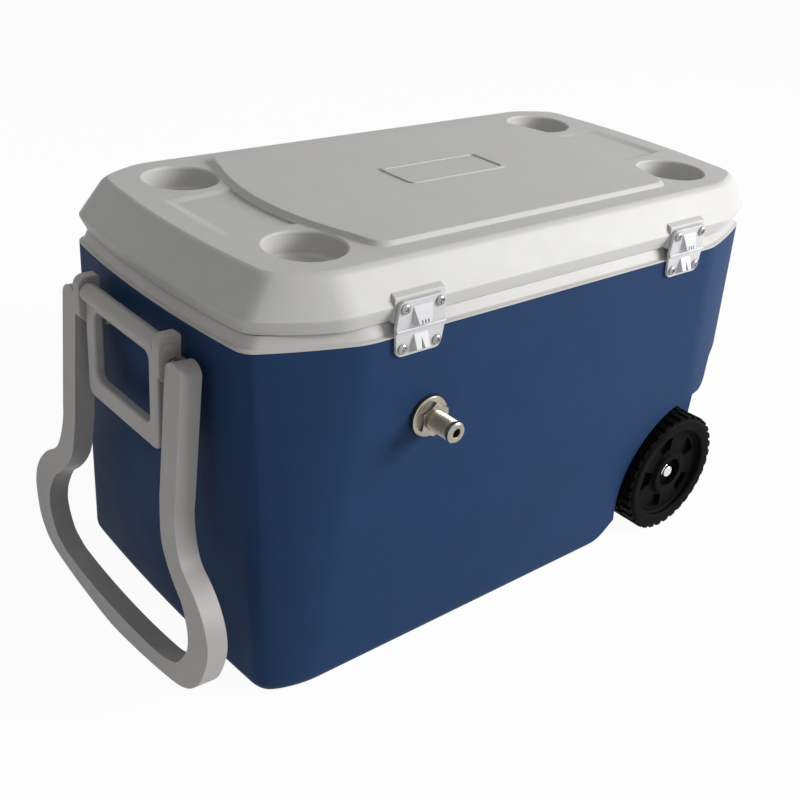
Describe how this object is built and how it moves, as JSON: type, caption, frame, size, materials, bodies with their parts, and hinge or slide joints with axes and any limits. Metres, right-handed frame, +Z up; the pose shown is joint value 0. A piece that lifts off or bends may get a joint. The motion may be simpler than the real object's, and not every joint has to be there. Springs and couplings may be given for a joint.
{
  "type": "kegerator",
  "caption": "Jockey-box beer cooler: wheeled insulated chest with hinged lid, cup holders, tow and lift handles, keg inlet shank in the rear wall, cooling coil in the tub and a tap in front",
  "frame": {"origin": "centre of the flat underside of the chest", "axes": "+X along the length towards the tow-handle end, +Y towards the hinge side with the keg inlet shank, -Y towards the tap, +Z up"},
  "size_m": [0.8278, 0.5346, 0.4579],
  "materials": {
    "blue_shell": "fine pebble grain, satin",
    "lid_grey": "fine pebble grain, satin",
    "liner": "smooth, semi-gloss",
    "foam": "rigid foam",
    "handle_grey": "moulded, satin",
    "hinge_white": "moulded, semi-gloss",
    "wheel_black": "moulded, satin",
    "stainless": "turned stainless steel",
    "chrome": "polished plating",
    "seal_rubber": "black sealing washer",
    "knob_black": "glossy",
    "hose_clear": "milky clear vinyl"
  },
  "bodies": {
    "chest": {"outer_shell": "blue_shell", "insulation_foam": "foam", "inner_liner": "liner", "handle_bracket_rear": "handle_grey", "handle_bracket_front": "handle_grey", "wheel_end_bracket_rear": "handle_grey", "wheel_end_bracket_front": "handle_grey", "tow_handle_pin_rear": "stainless", "tow_handle_pin_front": "stainless", "axle": "stainless", "axle_cap_rear": "chrome", "axle_cap_front": "chrome", "rear_shank": "stainless", "rear_shank_nut": "stainless", "rear_shank_washer": "seal_rubber", "rear_shank_locknut": "stainless", "inlet_tail_nut": "stainless", "front_shank": "stainless", "front_flange": "chrome", "front_shank_locknut": "stainless", "outlet_tail_nut": "stainless", "faucet_collar": "chrome", "faucet_body": "chrome", "faucet_bonnet": "chrome", "drain_spout": "handle_grey", "cooling_coil": "stainless", "inlet_hose": "hose_clear", "outlet_hose": "hose_clear", "hose_clamp_inlet_tail": "stainless", "hose_clamp_coil_top": "stainless", "hose_clamp_outlet_tail": "stainless", "hose_clamp_coil_riser": "stainless", "hinge_body_leaf_handle_end": "hinge_white", "hinge_body_screw_handle_end_1": "chrome", "hinge_body_screw_handle_end_2": "chrome", "hinge_body_leaf_wheel_end": "hinge_white", "hinge_body_screw_wheel_end_1": "chrome", "hinge_body_screw_wheel_end_2": "chrome"},
    "lid": {"lid_shell": "lid_grey", "lid_foam": "foam", "lid_liner": "liner", "hinge_lid_leaf_handle_end": "hinge_white", "hinge_lid_leaf_wheel_end": "hinge_white", "hinge_lid_screw_handle_end_1": "chrome", "hinge_lid_screw_handle_end_2": "chrome", "hinge_lid_screw_wheel_end_1": "chrome", "hinge_lid_screw_wheel_end_2": "chrome"},
    "tow_handle": {"tow_handle": "handle_grey"},
    "lift_handle": {"lift_handle": "handle_grey"},
    "wheel_end_lift_handle": {"wheel_end_lift_handle": "handle_grey"},
    "wheel_rear": {"wheel_rear": "wheel_black"},
    "wheel_front": {"wheel_front": "wheel_black"},
    "faucet_lever": {"faucet_lever": "chrome", "faucet_knob": "knob_black"},
    "drain_plug": {"drain_plug": "handle_grey"}
  },
  "joints": [
    {"name": "lid_hinge", "type": "hinge", "parent": "chest", "child": "lid", "pos_m": [0, 0.201, 0.3906], "axis": [-1, 0, 0], "range_deg": [0, 92]},
    {"name": "tow_handle_hinge", "type": "hinge", "parent": "chest", "child": "tow_handle", "pos_m": [0.391, 0, 0.349], "axis": [0, -1, 0], "range_deg": [0, 120]},
    {"name": "lift_handle_hinge", "type": "hinge", "parent": "chest", "child": "lift_handle", "pos_m": [0.396, 0, 0.3645], "axis": [0, -1, 0], "range_deg": [0, 90]},
    {"name": "wheel_end_lift_handle_hinge", "type": "hinge", "parent": "chest", "child": "wheel_end_lift_handle", "pos_m": [-0.396, 0, 0.3645], "axis": [0, 1, 0], "range_deg": [0, 90]},
    {"name": "wheel_rear_spin", "type": "hinge", "parent": "chest", "child": "wheel_rear", "pos_m": [-0.258, 0.189, 0.08], "axis": [0, 1, 0], "continuous": true},
    {"name": "wheel_front_spin", "type": "hinge", "parent": "chest", "child": "wheel_front", "pos_m": [-0.258, -0.189, 0.08], "axis": [0, 1, 0], "continuous": true},
    {"name": "faucet_lever_hinge", "type": "hinge", "parent": "chest", "child": "faucet_lever", "pos_m": [0, -0.2397, 0.313], "axis": [1, 0, 0], "range_deg": [0, 25]},
    {"name": "drain_plug_pull", "type": "slide", "parent": "chest", "child": "drain_plug", "axis": [0, -1, 0], "range_m": [0, 0.02]}
  ]
}
